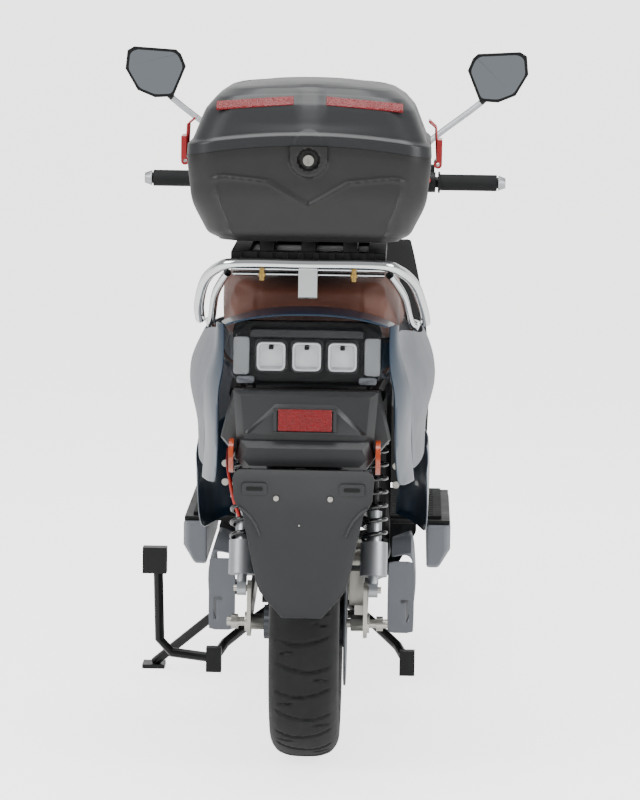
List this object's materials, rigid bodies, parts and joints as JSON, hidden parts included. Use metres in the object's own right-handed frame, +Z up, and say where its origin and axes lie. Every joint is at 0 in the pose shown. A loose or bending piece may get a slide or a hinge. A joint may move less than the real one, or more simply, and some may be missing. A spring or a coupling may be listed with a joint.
{
  "type": "electric moped scooter",
  "caption": "Upright electric scooter with step-through floor, hub motor, sprung rear arm, telescopic fork, padded seat, carrier rack and lockable top case.",
  "frame": {"origin": "centre of the footprint on the ground, under the middle of the overall length", "axes": "+X to the rider's right, +Y forward along the machine, +Z up"},
  "size_m": [0.794, 1.9111, 1.211],
  "materials": {
    "frame_black": "satin black paint",
    "battery_case": "matte grey plastic",
    "cast_alloy": "cast finned alloy",
    "black_plastic": "fine textured black plastic",
    "mat_rubber": "ribbed black rubber",
    "silver_paint": "satin silver paint on plastic",
    "blue_paint": "dark petrol blue gloss paint",
    "clear_lens": "clear moulded lens",
    "amber_lens": "amber lens",
    "red_lens": "red reflex lens",
    "bright_cup": "vacuum metallised",
    "grey_plastic": "dark grey textured plastic",
    "case_plastic": "charcoal textured plastic",
    "red_plastic": "red latch plastic",
    "chrome": "polished chrome plate",
    "steel": "machined steel",
    "leather": "brown synthetic leather",
    "seat_pan": "black pan",
    "grip_rubber": "black grip rubber",
    "lever_alloy": "cast lever alloy",
    "mirror_shell": "black mirror shell",
    "tyre": "black tyre rubber",
    "rim_alloy": "dark grey cast rim",
    "damper_alloy": "bright damper alloy",
    "spring_black": "black coated spring"
  },
  "bodies": {
    "chassis": {"head_tube": "frame_black", "down_tube": "frame_black", "rail_left": "frame_black", "rail_right": "frame_black", "cross_tubes": "frame_black", "battery_pack": "battery_case", "motor_controller": "cast_alloy", "floorboard": "black_plastic", "floor_mat": "mat_rubber", "belly_pan": "black_plastic", "front_apron": "silver_paint", "leg_shield": "black_plastic", "headlight": "clear_lens", "front_indicators": "amber_lens", "side_panels_silver": "silver_paint", "lower_side_panels": "blue_paint", "tail_cowl": "blue_paint", "tail_light_housing": "grey_plastic", "tail_light_reflectors": "bright_cup", "tail_light_lens": "clear_lens", "plate_shelf": "grey_plastic", "rear_reflector": "red_lens", "side_reflectors": "amber_lens", "plate_bracket": "grey_plastic", "inner_mudguard": "black_plastic", "lower_covers": "silver_paint", "footboard_wings": "silver_paint", "grab_rail": "chrome", "rack_plate": "black_plastic", "case_shell": "case_plastic", "pillion_pad": "leather"},
    "steering": {"steering_stem": "frame_black", "handlebar": "frame_black", "bar_cowl": "blue_paint", "switch_pods": "black_plastic", "left_grip": "grip_rubber"},
    "throttle": {"throttle_grip": "grip_rubber"},
    "lever_l": {"lever_left": "lever_alloy"},
    "lever_r": {"lever_right": "lever_alloy"},
    "mirror_l": {"mirror_left": "mirror_shell"},
    "mirror_r": {"mirror_right": "mirror_shell"},
    "fork": {"fork_sliders": "frame_black", "front_mudguard": "blue_paint"},
    "front_wheel": {"front_tyre": "tyre", "front_rim": "rim_alloy"},
    "arm": {"swingarm": "steel"},
    "rear_wheel": {"rear_tyre": "tyre", "hub_motor": "rim_alloy"},
    "damper_bodies": {"shock_bodies": "damper_alloy"},
    "damper_rods": {"shock_rods": "frame_black", "shock_springs": "spring_black"},
    "sidestand": {"side_stand": "frame_black"},
    "centrestand": {"centre_stand": "frame_black"},
    "seat": {"seat_pan": "seat_pan", "seat_cushion": "leather"},
    "lid": {"case_lid": "case_plastic", "lid_reflectors": "red_lens"},
    "latch_l": {"latch_left": "red_plastic"},
    "latch_r": {"latch_right": "red_plastic"},
    "lock": {"case_lock": "steel"}
  },
  "joints": [
    {"name": "steering_turn", "type": "hinge", "parent": "chassis", "child": "steering", "pos_m": [0, 0.69404, 0.21366], "axis": [0, -0.4384, 0.8988], "range_deg": [-38, 38]},
    {"name": "throttle_twist", "type": "hinge", "parent": "steering", "child": "throttle", "pos_m": [0.282, 0.24544, 0.953], "axis": [-1, 0, 0], "range_deg": [0, 60], "stiffness_Nm_per_rad": 0.6, "springref_deg": -17.19},
    {"name": "left_brake_pull", "type": "hinge", "parent": "steering", "child": "lever_l", "pos_m": [-0.208, 0.28544, 0.953], "axis": [0, 0, -1], "range_deg": [0, 16], "stiffness_Nm_per_rad": 3, "springref_deg": -17.19},
    {"name": "right_brake_pull", "type": "hinge", "parent": "steering", "child": "lever_r", "pos_m": [0.208, 0.28544, 0.953], "axis": [0, 0, 1], "range_deg": [0, 16], "stiffness_Nm_per_rad": 3, "springref_deg": -17.19},
    {"name": "left_mirror_turn", "type": "hinge", "parent": "steering", "child": "mirror_l", "pos_m": [-0.192, 0.27744, 0.986], "axis": [0, 0, 1], "range_deg": [-25, 25]},
    {"name": "right_mirror_turn", "type": "hinge", "parent": "steering", "child": "mirror_r", "pos_m": [0.192, 0.27744, 0.986], "axis": [0, 0, 1], "range_deg": [-25, 25]},
    {"name": "fork_travel", "type": "slide", "parent": "steering", "child": "fork", "axis": [0, -0.4384, 0.8988], "range_m": [0, 0.06], "stiffness_N_per_m": 8000, "springref_m": -0.09},
    {"name": "front_wheel_spin", "type": "hinge", "parent": "fork", "child": "front_wheel", "pos_m": [0, 0.7255, 0.229], "axis": [1, 0, 0], "continuous": true},
    {"name": "swingarm_swing", "type": "hinge", "parent": "chassis", "child": "arm", "pos_m": [0, -0.1745, 0.29], "axis": [-1, 0, 0], "range_deg": [0, 7.95], "stiffness_Nm_per_rad": 3400, "springref_deg": -9.17},
    {"name": "rear_wheel_spin", "type": "hinge", "parent": "arm", "child": "rear_wheel", "pos_m": [0, -0.6045, 0.236], "axis": [1, 0, 0], "continuous": true},
    {"name": "shock_tilt", "type": "hinge", "parent": "chassis", "child": "damper_rods", "pos_m": [0, -0.5245, 0.6], "axis": [-1, 0, 0], "range_deg": [0, 2.75]},
    {"name": "shock_stroke", "type": "slide", "parent": "damper_rods", "child": "damper_bodies", "axis": [0, 0.2856, 0.9583], "range_m": [0, 0.0595], "deforming": ["shock_springs"]},
    {"name": "side_stand_swing", "type": "hinge", "parent": "chassis", "child": "sidestand", "pos_m": [-0.16, -0.0445, 0.19], "axis": [-1, 0, 0], "range_deg": [0, 112]},
    {"name": "centre_stand_swing", "type": "hinge", "parent": "chassis", "child": "centrestand", "pos_m": [0, -0.1345, 0.185], "axis": [1, 0, 0], "range_deg": [0, 72]},
    {"name": "seat_open", "type": "hinge", "parent": "chassis", "child": "seat", "pos_m": [0, 0.0395, 0.718], "axis": [-1, 0, 0], "range_deg": [0, 75]},
    {"name": "lid_open", "type": "hinge", "parent": "chassis", "child": "lid", "pos_m": [0, -0.4935, 1.092], "axis": [-1, 0, 0], "range_deg": [0, 85]},
    {"name": "left_latch_turn", "type": "hinge", "parent": "chassis", "child": "latch_l", "pos_m": [-0.215, -0.7045, 1.058], "axis": [0, -1, 0], "range_deg": [0, 95]},
    {"name": "right_latch_turn", "type": "hinge", "parent": "chassis", "child": "latch_r", "pos_m": [0.215, -0.7045, 1.058], "axis": [0, 1, 0], "range_deg": [0, 95]},
    {"name": "lock_turn", "type": "hinge", "parent": "chassis", "child": "lock", "pos_m": [0, -0.9095, 1.074], "axis": [0, -1, 0], "range_deg": [0, 90]}
  ],
  "couplings": [
    {"joint": "shock_tilt", "follows": "swingarm_swing", "ratio": 0.34534},
    {"joint": "shock_stroke", "follows": "swingarm_swing", "m_per_rad": 0.42866}
  ]
}
